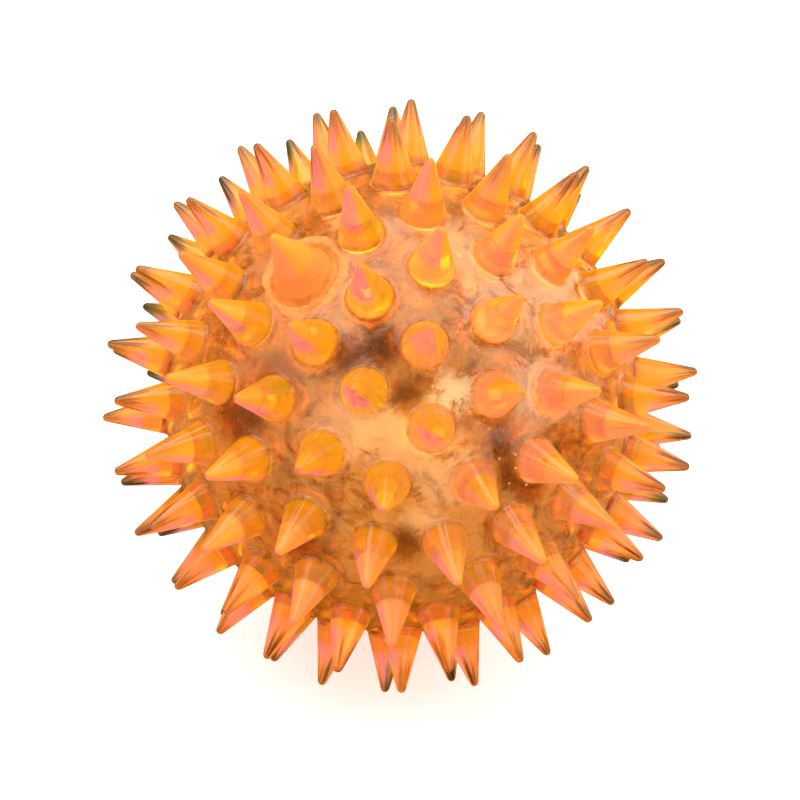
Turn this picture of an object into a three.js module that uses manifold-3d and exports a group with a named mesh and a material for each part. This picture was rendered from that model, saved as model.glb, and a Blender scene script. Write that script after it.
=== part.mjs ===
// A light-up spiky ball: a hollow ball of soft see-through rubber with rings of solid cone spikes, a plug
// that closes its filling port, and a flasher module bonded to the inside of the wall.
// Millimetres and degrees, +Z up, origin at the ball's centre. The ball stands on three spike tips, its
// front faces -Y, and the module lies at the bottom.

import * as THREE from 'three';
import { ConvexHull } from 'three/addons/math/ConvexHull.js';
import { mergeVertices } from 'three/addons/utils/BufferGeometryUtils.js';
import Module from 'manifold-3d';

const { degToRad } = THREE.MathUtils;

// Ball wall and spikes. The spikes' feet share out the core's surface, so they grow and shrink with it
const coreRadius = 29.8;
const ballWall = 2.2;
const spikeHeight = 7.7;
const spikeFootShare = 0.0906;
const spikeFootRadius = coreRadius * spikeFootShare;
const spikeTipRadius = 0.55;
const spikeSides = 10;
const cavityDetail = 4;

// Rings of spikes from one pole of the mould to the other: spikes in each ring, and the ring's turn
const ringCounts = [1, 6, 12, 16, 21, 23, 24, 22, 19, 16, 12, 6, 1];
const ringTurns = [0, 4.3, 2.6, 18.3, 10.8, 12.8, 1.5, 15.1, 0.8, 9, 2.6, 4.3, 0];

// How the ball stands: the three spikes under it, as ring and place in the ring, and where the pole faces
const restSpikes = [[6, 17], [6, 18], [5, 16]];
const poleBearing = 26.3;

// Filling port, its plug and the cement round the plug. The port leaves a narrow land round it before the
// feet of the spikes in the next rings, which sets the plug's radius
const plugSpike = [5, 7];
const portLand = 0.15;
const plugStep = 1;
const plugHead = 1.4;
const plugStemReach = 0.7;
const plugStemTaper = 0.6;
const plugGap = 0.25;
const cementWidth = 0.45;
const cementDepth = 1.05;
const cementCrown = 0.12;
const plugSides = 24;

// Gaps: between parts that seat on each other, between parts in the case, and from the case to the wall
const seatGap = 0.3;
const partGap = 0.5;
const wallGap = 0.6;

// Case of the flasher module
const moduleOffset = 3;
const caseWall = 1;
const caseCorner = 2.5;
const lidTongue = 1.5;
const lidTongueWall = 0.7;
const saddleThickness = 1.2;
const saddleSpacing = 7;
const saddleDrop = 1.5;

// Pad that bonds the case to the ball wall
const padWidth = 14;
const padDepth = 9;

// Circuit board, on stand-offs with pegs
const boardThickness = 1;
const boardMargin = 0.4;
const boardCorner = 1;
const standoffHeight = 1.5;
const standoffRadius = 1.1;
const pegRadius = 0.5;
const pegInset = 1.2;
const pegProud = 0.3;
const holeGap = 0.3;
const roundSides = 10;

// Chip and resistor on the board's back
const globRadius = 2.6;
const globHeight = 1.1;
const globRise = 2.5;
const resistorSize = [2, 1.25, 0.5];
const resistorRise = -2.5;

// LEDs
const ledRadius = 1.5;
const ledLength = 5.3;
const ledFlangeRadius = 1.9;
const ledFlangeHeight = 1;
const ledSpacing = 4.2;
const ledLegWidth = 0.5;
const ledLegSpacing = 2.54;
const legReach = 0.8;
const ledSides = 14;

// Button cells in a sleeve, and their contacts
const cellCount = 3;
const cellRadius = 3.95;
const cellHeight = 3.6;
const cellEdge = 0.4;
const cellCapRadius = 3.1;
const cellCapHeight = 0.35;
const cellShoulder = 0.9;
const sleeveWall = 0.25;
const sleeveLip = 0.9;
const cellSides = 20;
const contactWall = 0.3;
const contactWidth = 3;
const contactFoot = 1.2;
const contactReach = 1.6;
const contactNubRadius = 1;
const contactBow = 4.4;

// Motion switch: a coil spring round a pin
const springWire = 0.3;
const springRadius = 1.25;
const springPitch = 0.85;
const springTurns = 8;
const springSway = 5;
const springSteps = 8;
const wireSides = 5;
const pinRadius = 0.35;
const pinOverlap = 5;
const pinClear = 1.1;
const pinSides = 8;

// How finely curves are cut up, and how near points are before they count as one
const crownSteps = 3;
const domeSteps = 4;
const cornerSteps = 4;
const bowSteps = 6;
const bendSteps = 4;
const weldDistance = 1e-4;

const wasm = await Module();
wasm.setup();

const up = new THREE.Vector3(0, 0, 1);
const down = new THREE.Vector3(0, 0, -1);

// A closed solid for joining and cutting, made of a geometry's positions alone
function toSolid(geometry) {
  const bare = geometry.clone();
  bare.deleteAttribute('normal');
  bare.deleteAttribute('uv');
  const merged = mergeVertices(bare, weldDistance);
  const corners = merged.index.array;
  const kept = [];
  for (let i = 0; i < corners.length; i += 3) {
    const [a, b, c] = corners.slice(i, i + 3);
    if (a !== b && b !== c && c !== a) kept.push(a, b, c);
  }
  return new wasm.Manifold(new wasm.Mesh({
    numProp: 3,
    vertProperties: Float32Array.from(merged.attributes.position.array),
    triVerts: Uint32Array.from(kept),
  }));
}

function toGeometry(solid) {
  const { vertProperties, triVerts } = solid.getMesh();
  const geometry = new THREE.BufferGeometry();
  geometry.setAttribute('position', new THREE.BufferAttribute(vertProperties, 3));
  geometry.setIndex(new THREE.BufferAttribute(triVerts, 1));
  geometry.computeVertexNormals();
  return geometry;
}

// A geometry from triangles given as three points each
function fromTriangles(triangles) {
  const geometry = new THREE.BufferGeometry().setFromPoints(triangles.flat());
  geometry.computeVertexNormals();
  return geometry;
}

// A turned solid about Z, from points of radius and height
function turned(profile, sides) {
  const points = profile.map(([radius, height]) => new THREE.Vector2(radius, height));
  return new THREE.LatheGeometry(points, sides).rotateX(Math.PI / 2);
}

function finish(color, roughness, metalness = 0) {
  return new THREE.MeshStandardMaterial({ color, roughness, metalness });
}

function piece(name, geometry, material) {
  const mesh = new THREE.Mesh(geometry, material);
  mesh.name = name;
  return mesh;
}

// A closed tube along points, with frames carried from one point to the next so that it never twists
function wire(points, radius, sides) {
  const rings = [];
  let side = new THREE.Vector3(0, 1, 0);
  points.forEach((point, i) => {
    const before = points[Math.max(i - 1, 0)];
    const after = points[Math.min(i + 1, points.length - 1)];
    const along = after.clone().sub(before).normalize();
    side = side.clone().addScaledVector(along, -side.dot(along)).normalize();
    const across = along.clone().cross(side);
    const ring = [];
    for (let k = 0; k < sides; k += 1) {
      const angle = 2 * Math.PI * k / sides;
      const offset = side.clone().multiplyScalar(Math.cos(angle)).addScaledVector(across, Math.sin(angle));
      ring.push(point.clone().addScaledVector(offset, radius));
    }
    rings.push(ring);
  });
  const triangles = [];
  const last = rings.length - 1;
  for (let k = 0; k < sides; k += 1) {
    const next = (k + 1) % sides;
    for (let i = 0; i < last; i += 1) {
      triangles.push([rings[i][k], rings[i][next], rings[i + 1][next]]);
      triangles.push([rings[i][k], rings[i + 1][next], rings[i + 1][k]]);
    }
    triangles.push([points[0], rings[0][next], rings[0][k]]);
    triangles.push([points[last], rings[last][k], rings[last][next]]);
  }
  return fromTriangles(triangles);
}

// Axis of one spike in the mould's frame, whose pole is +Z
function spikeAxis(ring, place) {
  const polar = degToRad(ring * 180 / (ringCounts.length - 1));
  const turn = degToRad(ringTurns[ring] + place * 360 / ringCounts[ring]);
  const spread = Math.sin(polar);
  return new THREE.Vector3(spread * Math.cos(turn), spread * Math.sin(turn), Math.cos(polar));
}

// Points of a circle round an axis through the ball's centre
function circleRound(axis, radius, height, sides) {
  const lean = new THREE.Quaternion().setFromUnitVectors(up, axis);
  return Array.from({ length: sides }, (_, i) => {
    const angle = 2 * Math.PI * i / sides;
    const point = new THREE.Vector3(radius * Math.cos(angle), radius * Math.sin(angle), height);
    return point.applyQuaternion(lean);
  });
}

// Height above the ball's centre, along an axis, of the core's surface at a radius from that axis
function coreHeight(radius) {
  return Math.sqrt(coreRadius ** 2 - radius ** 2);
}

// The spike's rounded tip: its side runs on to the tip's ball as a tangent
const spikeLean = Math.atan2(spikeFootRadius - spikeTipRadius, spikeHeight - spikeTipRadius);
const tipRingRadius = spikeTipRadius * Math.cos(spikeLean);
const tipRingHeight = coreRadius + spikeHeight - spikeTipRadius * (1 - Math.sin(spikeLean));
const tipHeight = coreRadius + spikeHeight;

// Outer skin of the ball: spike feet are circles on the core, a hull joins them, and a cone stands on each
function ballSkin(spikes, portAxis, portRadius) {
  const owners = new Map();
  const triangles = [];
  spikes.forEach((axis) => {
    const foot = circleRound(axis, spikeFootRadius, coreHeight(spikeFootRadius), spikeSides);
    const tip = circleRound(axis, tipRingRadius, tipRingHeight, spikeSides);
    const apex = axis.clone().multiplyScalar(tipHeight);
    foot.forEach((point, i) => {
      const next = (i + 1) % spikeSides;
      owners.set(point, axis);
      triangles.push([point, foot[next], tip[next]]);
      triangles.push([point, tip[next], tip[i]]);
      triangles.push([tip[i], tip[next], apex]);
    });
  });
  const rim = circleRound(portAxis, portRadius, coreHeight(portRadius), plugSides);
  const hull = new ConvexHull().setFromPoints([...owners.keys(), ...rim]);
  hull.faces.forEach(({ edge }) => {
    const corners = [edge, edge.next, edge.next.next].map((side) => side.head().point);
    const [a, b, c] = corners.map((corner) => owners.get(corner));
    if (a === undefined || a !== b || b !== c) triangles.push(corners);
  });
  return fromTriangles(triangles);
}

const cavityRadius = coreRadius - ballWall;
const ringSpacing = coreRadius * Math.PI / (ringCounts.length - 1);
const portRadius = ringSpacing - spikeFootRadius - portLand;
const cementOuter = portRadius - plugGap;
const cementInner = cementOuter - cementWidth;
const plugRadius = cementInner - plugGap;
const plugStemRadius = plugRadius - plugStep;
const plugSeat = coreRadius - plugHead;
const cementFloor = coreRadius - cementDepth;
const plugFoot = cavityRadius - plugStemReach;

// What the port takes out of the wall: a stepped hole with a rebate for the cement
function portCut() {
  const below = plugFoot - ballWall;
  const above = coreRadius + ballWall;
  return turned([
    [0, below],
    [plugStemRadius + plugGap, below],
    [plugStemRadius + plugGap, plugSeat],
    [plugRadius + plugGap, plugSeat],
    [plugRadius + plugGap, cementFloor],
    [portRadius, cementFloor],
    [portRadius, above],
    [0, above],
  ], plugSides);
}

function shellGeometry(spikes, portAxis) {
  const lean = new THREE.Quaternion().setFromUnitVectors(up, portAxis);
  const cavity = new THREE.IcosahedronGeometry(cavityRadius, cavityDetail);
  return toGeometry(toSolid(ballSkin(spikes, portAxis, portRadius))
    .subtract(toSolid(cavity))
    .subtract(toSolid(portCut().applyQuaternion(lean))));
}

// Plug: a tapered stem, a head that sits on the port's step, and a spike like all the others
function plugGeometry() {
  const crown = [];
  for (let i = 0; i <= crownSteps; i += 1) {
    const radius = plugRadius + (spikeFootRadius - plugRadius) * i / crownSteps;
    crown.push([radius, coreHeight(radius)]);
  }
  return turned([
    [0, plugFoot],
    [plugStemRadius - plugStemTaper, plugFoot],
    [plugStemRadius, plugFoot + plugStemTaper],
    [plugStemRadius, plugSeat + plugGap],
    [plugRadius, plugSeat + plugGap],
    ...crown,
    [tipRingRadius, tipRingHeight],
    [0, tipHeight],
  ], plugSides);
}

function cementGeometry() {
  const middle = (cementInner + cementOuter) / 2;
  const floor = cementFloor + plugGap;
  return turned([
    [cementInner, floor],
    [cementOuter, floor],
    [cementOuter, coreHeight(cementOuter)],
    [middle, coreHeight(middle) + cementCrown],
    [cementInner, coreHeight(cementInner)],
    [cementInner, floor],
  ], plugSides);
}

// Layout of the module: X to the right, Y up from the case's floor, Z from its back face to the front
const sleeveInner = cellRadius + seatGap;
const sleeveRadius = sleeveInner + sleeveWall;
const stackLength = cellCount * cellHeight + (cellCount - 1) * seatGap;
const sleeveHalf = stackLength / 2 + seatGap + sleeveWall;
const contactPlane = sleeveHalf + seatGap;
const innerWidth = 2 * (contactPlane + contactWall + contactFoot + boardMargin);
const boardBack = caseWall + standoffHeight + seatGap;
const boardFront = boardBack + boardThickness;
const cellAxisZ = boardFront + partGap + sleeveRadius;
const cellAxisY = partGap + sleeveRadius;
const lidInside = cellAxisZ + sleeveRadius + partGap;
const caseDepth = lidInside + caseWall;
const springOuter = springRadius + springWire / 2;
const springLength = springTurns * springPitch;
const springStart = -springLength / 2 - seatGap;
const swayRoom = springLength * Math.sin(degToRad(springSway));
const springAxisY = cellAxisY + sleeveRadius + partGap + springOuter;
const springAxisZ = boardFront + springOuter + swayRoom + partGap;
const ledY = springAxisY + springOuter + partGap + ledFlangeRadius;
const innerHeight = ledY + ledFlangeRadius + partGap;
const caseWidth = innerWidth + 2 * caseWall;
const caseHeight = innerHeight + 2 * caseWall;
const boardWidth = innerWidth - 2 * boardMargin;
const boardHeight = innerHeight - 2 * boardMargin;
const ledPlaces = [-ledSpacing, 0, ledSpacing];
const springRoot = new THREE.Vector3(springStart, springAxisY + springRadius, boardFront);
const pinBend = springStart + springLength + pinClear + pinRadius;
const pegPlaces = [-1, 1].flatMap((x) => [-1, 1].map((y) => [
  x * (boardWidth / 2 - pegInset),
  innerHeight / 2 + y * (boardHeight / 2 - pegInset),
]));

// The case's lower corners clear the ball wall, which sets how low the case lies
const cornerReach = Math.sqrt((cavityRadius - wallGap) ** 2 - (caseDepth / 2) ** 2) - caseCorner;
const cornerAside = Math.abs(moduleOffset) + caseWidth / 2 - caseCorner;
const caseBottom = -Math.sqrt(cornerReach ** 2 - cornerAside ** 2) - caseCorner;

// A rectangle with round corners, centred on X and on half the inner height
function roundedRectangle(width, height, corner) {
  const left = -width / 2;
  const low = innerHeight / 2 - height / 2;
  const quarter = Math.PI / 2;
  const shape = new THREE.Shape();
  shape.absarc(left + width - corner, low + corner, corner, -quarter, 0);
  shape.absarc(left + width - corner, low + height - corner, corner, 0, quarter);
  shape.absarc(left + corner, low + height - corner, corner, quarter, 2 * quarter);
  shape.absarc(left + corner, low + corner, corner, 2 * quarter, 3 * quarter);
  shape.closePath();
  return shape;
}

function slab(shape, from, to) {
  const depth = to - from;
  return new THREE.ExtrudeGeometry(shape, { depth, bevelEnabled: false, curveSegments: cornerSteps })
    .translate(0, 0, from);
}

const caseOutline = roundedRectangle(caseWidth, caseHeight, caseCorner);
const caseInline = roundedRectangle(innerWidth, innerHeight, caseCorner - caseWall);

// A rib that carries the cell sleeve in a round notch
function saddle(x) {
  const back = boardFront + partGap;
  const front = lidInside - lidTongue - partGap;
  const top = cellAxisY - saddleDrop;
  const block = new THREE.BoxGeometry(saddleThickness, top + caseWall / 2, front - back)
    .translate(x, (top - caseWall / 2) / 2, (front + back) / 2);
  const notch = turned([
    [0, -saddleThickness],
    [sleeveRadius + seatGap, -saddleThickness],
    [sleeveRadius + seatGap, saddleThickness],
    [0, saddleThickness],
  ], cellSides).rotateY(Math.PI / 2).translate(x, cellAxisY, cellAxisZ);
  return toSolid(block).subtract(toSolid(notch));
}

// Deep half of the case, with board stand-offs on its back wall and saddles on its floor
function trayGeometry() {
  const rim = lidInside - seatGap;
  let tray = toSolid(slab(caseOutline, 0, rim))
    .subtract(toSolid(slab(caseInline, caseWall, rim + caseWall)));
  const standoffTop = caseWall + standoffHeight;
  pegPlaces.forEach(([x, y]) => {
    const post = turned([
      [0, caseWall / 2],
      [standoffRadius, caseWall / 2],
      [standoffRadius, standoffTop],
      [pegRadius, standoffTop],
      [pegRadius, boardFront + pegProud],
      [0, boardFront + pegProud],
    ], roundSides).translate(x, y, 0);
    tray = tray.add(toSolid(post));
  });
  [-saddleSpacing / 2, saddleSpacing / 2].forEach((x) => {
    tray = tray.add(saddle(x));
  });
  return toGeometry(tray);
}

// Cover of the case, with a tongue all round that fits inside the tray's wall
function lidGeometry() {
  const tongueCorner = caseCorner - caseWall - seatGap;
  const tongueWidth = innerWidth - 2 * seatGap;
  const tongueHeight = innerHeight - 2 * seatGap;
  const tongue = roundedRectangle(tongueWidth, tongueHeight, tongueCorner);
  tongue.holes.push(roundedRectangle(
    tongueWidth - 2 * lidTongueWall,
    tongueHeight - 2 * lidTongueWall,
    tongueCorner - lidTongueWall / 2,
  ));
  return toGeometry(toSolid(slab(caseOutline, lidInside, caseDepth))
    .add(toSolid(slab(tongue, lidInside - lidTongue, lidInside + caseWall / 2))));
}

function boardGeometry() {
  const outline = roundedRectangle(boardWidth, boardHeight, boardCorner);
  const bore = (x, y, radius) => {
    const hole = new THREE.Path();
    hole.absarc(x, y, radius, 0, 2 * Math.PI);
    outline.holes.push(hole);
  };
  pegPlaces.forEach(([x, y]) => bore(x, y, pegRadius + holeGap));
  ledPlaces.forEach((x) => [-1, 1].forEach((side) => {
    bore(x + side * ledLegSpacing / 2, ledY, ledLegWidth * Math.SQRT1_2 + holeGap);
  }));
  bore(springRoot.x, springRoot.y, springWire / 2 + holeGap);
  bore(pinBend, springAxisY, pinRadius + holeGap);
  return slab(outline, boardBack, boardFront);
}

// A drop of resin: a low cap of a ball
function globGeometry() {
  const base = boardBack - seatGap;
  const profile = [[0, 0]];
  for (let i = 0; i < domeSteps; i += 1) {
    const angle = Math.PI / 2 * i / domeSteps;
    profile.push([globRadius * Math.cos(angle), globHeight * Math.sin(angle)]);
  }
  profile.push([0, globHeight]);
  return turned(profile, ledSides).rotateY(Math.PI).translate(0, cellAxisY + globRise, base);
}

function resistorGeometry() {
  const [width, height, depth] = resistorSize;
  return new THREE.BoxGeometry(width, height, depth)
    .translate(0, cellAxisY + resistorRise, boardBack - seatGap - depth / 2);
}

// One LED: lens with a flange, and two legs that go through the board
function ledGeometry(x) {
  const base = boardFront + seatGap;
  const dome = [];
  for (let i = 0; i < domeSteps; i += 1) {
    const angle = Math.PI / 2 * i / domeSteps;
    dome.push([ledRadius * Math.cos(angle), base + ledLength - ledRadius * (1 - Math.sin(angle))]);
  }
  dome.push([0, base + ledLength]);
  let led = toSolid(turned([
    [0, base],
    [ledFlangeRadius, base],
    [ledFlangeRadius, base + ledFlangeHeight],
    [ledRadius, base + ledFlangeHeight],
    ...dome,
  ], ledSides).translate(x, ledY, 0));
  const legFrom = boardBack - legReach;
  const legTo = base + ledFlangeHeight / 2;
  [-1, 1].forEach((side) => {
    const leg = new THREE.BoxGeometry(ledLegWidth, ledLegWidth, legTo - legFrom)
      .translate(x + side * ledLegSpacing / 2, ledY, (legFrom + legTo) / 2);
    led = led.add(toSolid(leg));
  });
  return toGeometry(led);
}

// One button cell, its flat plus side to the right and its smaller minus cap to the left
function cellGeometry(place) {
  const plusFace = stackLength / 2 - place * (cellHeight + seatGap);
  const shoulder = cellHeight - cellCapHeight;
  return turned([
    [0, 0],
    [cellRadius - cellEdge, 0],
    [cellRadius, cellEdge],
    [cellRadius, cellHeight - cellShoulder],
    [cellRadius - cellEdge, shoulder],
    [cellCapRadius, shoulder],
    [cellCapRadius, cellHeight],
    [0, cellHeight],
  ], cellSides).rotateY(-Math.PI / 2).translate(plusFace, cellAxisY, cellAxisZ);
}

// Shrink sleeve over the stack, turned in at both ends
function sleeveGeometry() {
  const lip = cellRadius - sleeveLip;
  const inner = sleeveHalf - sleeveWall;
  return turned([
    [sleeveRadius, -sleeveHalf],
    [sleeveRadius, sleeveHalf],
    [lip, sleeveHalf],
    [lip, inner],
    [sleeveInner, inner],
    [sleeveInner, -inner],
    [lip, -inner],
    [lip, -sleeveHalf],
    [sleeveRadius, -sleeveHalf],
  ], cellSides).rotateY(Math.PI / 2).translate(0, cellAxisY, cellAxisZ);
}

// Outline of a contact strip, as distance from the board and distance out from the sleeve's end: a foot on
// the board and a riser, which may bow in towards the cell
function contactStrip(bowDepth) {
  const base = boardFront + seatGap;
  const end = cellAxisZ + contactReach + contactWall;
  const bowFrom = cellAxisZ - contactBow / 2;
  const bowTo = cellAxisZ + contactBow / 2;
  const strip = new THREE.Shape();
  strip.moveTo(base, 0);
  if (bowDepth > 0) {
    strip.lineTo(bowFrom, 0);
    strip.quadraticCurveTo(cellAxisZ, -2 * bowDepth, bowTo, 0);
    strip.lineTo(bowTo, contactWall);
    strip.quadraticCurveTo(cellAxisZ, contactWall - 2 * bowDepth, bowFrom, contactWall);
  } else {
    strip.lineTo(end, 0);
    strip.lineTo(end, contactWall);
  }
  strip.lineTo(base + contactWall, contactWall);
  strip.lineTo(base + contactWall, contactWall + contactFoot);
  strip.lineTo(base, contactWall + contactFoot);
  strip.closePath();
  const depth = contactWidth;
  return new THREE.ExtrudeGeometry(strip, { depth, bevelEnabled: false, curveSegments: bowSteps });
}

const contactTouch = seatGap + sleeveWall;

// Plus contact, at the right: a flat strip with a round nub that reaches in through the sleeve's end
function plusContactGeometry() {
  const frame = new THREE.Matrix4().makeBasis(
    new THREE.Vector3(0, 0, 1),
    new THREE.Vector3(1, 0, 0),
    new THREE.Vector3(0, 1, 0),
  ).setPosition(contactPlane, cellAxisY - contactWidth / 2, 0);
  const nub = turned([
    [0, contactPlane - contactTouch],
    [contactNubRadius * Math.SQRT1_2, contactPlane - contactTouch],
    [contactNubRadius, contactPlane],
    [contactNubRadius, contactPlane + contactWall / 2],
    [0, contactPlane + contactWall / 2],
  ], roundSides).rotateY(Math.PI / 2).translate(0, cellAxisY, cellAxisZ);
  return toGeometry(toSolid(contactStrip(0).applyMatrix4(frame)).add(toSolid(nub)));
}

// Minus contact, at the left: a strip that bows in to the cell's cap
function minusContactGeometry() {
  const frame = new THREE.Matrix4().makeBasis(
    new THREE.Vector3(0, 0, 1),
    new THREE.Vector3(-1, 0, 0),
    new THREE.Vector3(0, -1, 0),
  ).setPosition(-contactPlane, cellAxisY + contactWidth / 2, 0);
  return contactStrip(contactTouch).applyMatrix4(frame);
}

// Path of the spring's wire from its root: a leg through the board, the coil, and a short straight end
function springPath() {
  const depth = springAxisZ - boardFront;
  const points = [
    new THREE.Vector3(0, 0, -boardThickness - legReach),
    new THREE.Vector3(0, 0, 0),
  ];
  const steps = springTurns * springSteps;
  for (let i = 0; i <= steps; i += 1) {
    const angle = 2 * Math.PI * i / springSteps;
    points.push(new THREE.Vector3(
      springPitch * i / springSteps,
      springRadius * (Math.cos(angle) - 1),
      depth + springRadius * Math.sin(angle),
    ));
  }
  const end = points[points.length - 1];
  const heading = end.clone().sub(points[points.length - 2]).normalize();
  points.push(end.clone().addScaledVector(heading, springWire));
  return points;
}

// Least clear distance between parts of a wire's path that are half a turn or more apart along it
function leastSelfGap(points, apart, thickness) {
  let least = Infinity;
  for (let i = 0; i < points.length; i += 1) {
    for (let k = i + apart; k < points.length; k += 1) {
      least = Math.min(least, points[i].distanceTo(points[k]) - thickness);
    }
  }
  return least;
}

// Path of the pin: a leg through the board, a bend, and a straight run inside the coil
function pinPath() {
  const bend = 2 * pinRadius;
  const depth = springAxisZ - boardFront;
  const points = [new THREE.Vector3(pinBend, springAxisY, boardBack - legReach)];
  for (let i = 0; i <= bendSteps; i += 1) {
    const angle = Math.PI / 2 * i / bendSteps;
    points.push(new THREE.Vector3(
      pinBend - bend * (1 - Math.cos(angle)),
      springAxisY,
      boardFront + depth - bend * (1 - Math.sin(angle)),
    ));
  }
  points.push(new THREE.Vector3(springStart + springLength - pinOverlap, springAxisY, springAxisZ));
  return points;
}

// Pad under the case: its top is flat and its underside follows the ball wall
function padGeometry() {
  const top = caseBottom - seatGap;
  const block = new THREE.BoxGeometry(padWidth, padDepth, coreRadius)
    .translate(moduleOffset, 0, top - coreRadius / 2);
  const round = new THREE.IcosahedronGeometry(cavityRadius - seatGap, cavityDetail);
  return toGeometry(toSolid(block).intersect(toSolid(round)));
}

const rubber = () => finish(0xf28a2e, 0.22);
const clearPlastic = finish(0xe9e2d2, 0.15);
const steel = () => finish(0xc9c8c2, 0.3, 0.9);
const brass = () => finish(0xcaa961, 0.3, 0.9);
const ledColors = { led_left: 0xd8342a, led_middle: 0x3f9b52, led_right: 0x3a63c4 };

function moulding() {
  const group = new THREE.Group();
  const plugAxis = spikeAxis(...plugSpike);
  const spikes = [];
  ringCounts.forEach((count, ring) => {
    for (let place = 0; place < count; place += 1) {
      if (ring !== plugSpike[0] || place !== plugSpike[1]) spikes.push(spikeAxis(ring, place));
    }
  });
  const port = new THREE.Group();
  port.quaternion.setFromUnitVectors(up, plugAxis);
  port.add(
    piece('port_plug', plugGeometry(), rubber()),
    piece('plug_cement', cementGeometry(), finish(0xe6b27a, 0.35)),
  );
  group.add(piece('ball_shell', shellGeometry(spikes, plugAxis), rubber()), port);

  // Turned so that the three rest spikes stand level, then about Z so that the pole faces its bearing
  const [a, b, c] = restSpikes.map(([ring, place]) => spikeAxis(ring, place));
  const facing = b.clone().sub(a).cross(c.clone().sub(a)).normalize();
  if (facing.dot(a) < 0) facing.negate();
  const level = new THREE.Quaternion().setFromUnitVectors(facing, down);
  const pole = spikeAxis(0, 0).applyQuaternion(level);
  const spin = degToRad(poleBearing - 90) - Math.atan2(pole.y, pole.x);
  group.quaternion.setFromAxisAngle(up, spin).multiply(level);
  return group;
}

function flasher() {
  const group = new THREE.Group();
  group.rotation.x = Math.PI / 2;
  group.position.set(moduleOffset, caseDepth / 2, caseBottom + caseWall);
  group.add(
    piece('case_tray', trayGeometry(), clearPlastic.clone()),
    piece('case_lid', lidGeometry(), clearPlastic.clone()),
    piece('circuit_board', boardGeometry(), finish(0x2f6b3a, 0.45)),
    piece('chip_glob', globGeometry(), finish(0x17171a, 0.3)),
    piece('chip_resistor', resistorGeometry(), finish(0x2b2b30, 0.5)),
    piece('cell_sleeve', sleeveGeometry(), finish(0xd9d4c8, 0.25)),
    piece('plus_contact', plusContactGeometry(), brass()),
    piece('minus_contact', minusContactGeometry(), brass()),
    piece('motion_pin', wire(pinPath(), pinRadius, pinSides), steel()),
  );
  Object.entries(ledColors).forEach(([name, color], i) => {
    group.add(piece(name, ledGeometry(ledPlaces[i]), finish(color, 0.12)));
  });
  for (let place = 0; place < cellCount; place += 1) {
    group.add(piece(`cell_${place + 1}`, cellGeometry(place), steel()));
  }
  const path = springPath();
  const spring = piece('motion_spring', wire(path, springWire / 2, wireSides), steel());
  spring.position.copy(springRoot);
  group.add(spring);
  const gap = leastSelfGap(path, springSteps / 2, springWire);
  console.log(`motion_spring: least gap to itself ${gap.toFixed(2)} mm`);
  return group;
}

const ball = new THREE.Group();
ball.add(moulding(), flasher(), piece('module_pad', padGeometry(), finish(0xb9a58a, 0.9)));

export default ball;
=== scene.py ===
import bmesh
import bpy
import math
import random
from mathutils import Matrix, Vector, noise


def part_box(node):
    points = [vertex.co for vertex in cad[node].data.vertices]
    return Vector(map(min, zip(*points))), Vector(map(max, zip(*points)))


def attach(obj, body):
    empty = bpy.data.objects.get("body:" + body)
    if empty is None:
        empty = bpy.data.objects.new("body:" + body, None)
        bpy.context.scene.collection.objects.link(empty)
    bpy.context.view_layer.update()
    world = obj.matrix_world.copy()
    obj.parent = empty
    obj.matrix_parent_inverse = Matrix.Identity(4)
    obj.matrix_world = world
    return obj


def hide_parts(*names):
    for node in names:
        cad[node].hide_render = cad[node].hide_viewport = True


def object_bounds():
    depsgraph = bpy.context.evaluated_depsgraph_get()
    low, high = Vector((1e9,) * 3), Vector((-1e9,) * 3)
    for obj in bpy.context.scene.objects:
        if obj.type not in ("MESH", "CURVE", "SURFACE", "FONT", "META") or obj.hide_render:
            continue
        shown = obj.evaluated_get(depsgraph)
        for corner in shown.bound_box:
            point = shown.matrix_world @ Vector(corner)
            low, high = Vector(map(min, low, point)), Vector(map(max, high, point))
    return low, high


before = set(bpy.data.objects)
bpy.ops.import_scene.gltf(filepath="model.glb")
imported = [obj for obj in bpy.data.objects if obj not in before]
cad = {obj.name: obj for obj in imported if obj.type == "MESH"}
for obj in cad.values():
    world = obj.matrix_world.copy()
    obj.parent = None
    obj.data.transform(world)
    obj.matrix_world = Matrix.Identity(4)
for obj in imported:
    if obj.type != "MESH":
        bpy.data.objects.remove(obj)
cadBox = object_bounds()
mm = 0.001
nearly = 0.001 * mm
weldGap = 0.002 * mm
sharpEdge = math.radians(50)
up = Vector((0, 0, 1))
print("frame loaded:", len(cad), "nodes")


# one value or colour in a node tree, so that shader maths reads as plain sums
class Signal:
    def __init__(self, kit, socket):
        self.kit = kit
        self.socket = socket

    def combine(self, operation, first, second):
        return self.kit.node("ShaderNodeMath", {"operation": operation}, {0: first, 1: second})

    def __add__(self, other):
        return self.combine("ADD", self, other)

    def __radd__(self, other):
        return self.combine("ADD", other, self)

    def __sub__(self, other):
        return self.combine("SUBTRACT", self, other)

    def __rsub__(self, other):
        return self.combine("SUBTRACT", other, self)

    def __mul__(self, other):
        return self.combine("MULTIPLY", self, other)

    def __rmul__(self, other):
        return self.combine("MULTIPLY", other, self)


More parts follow.
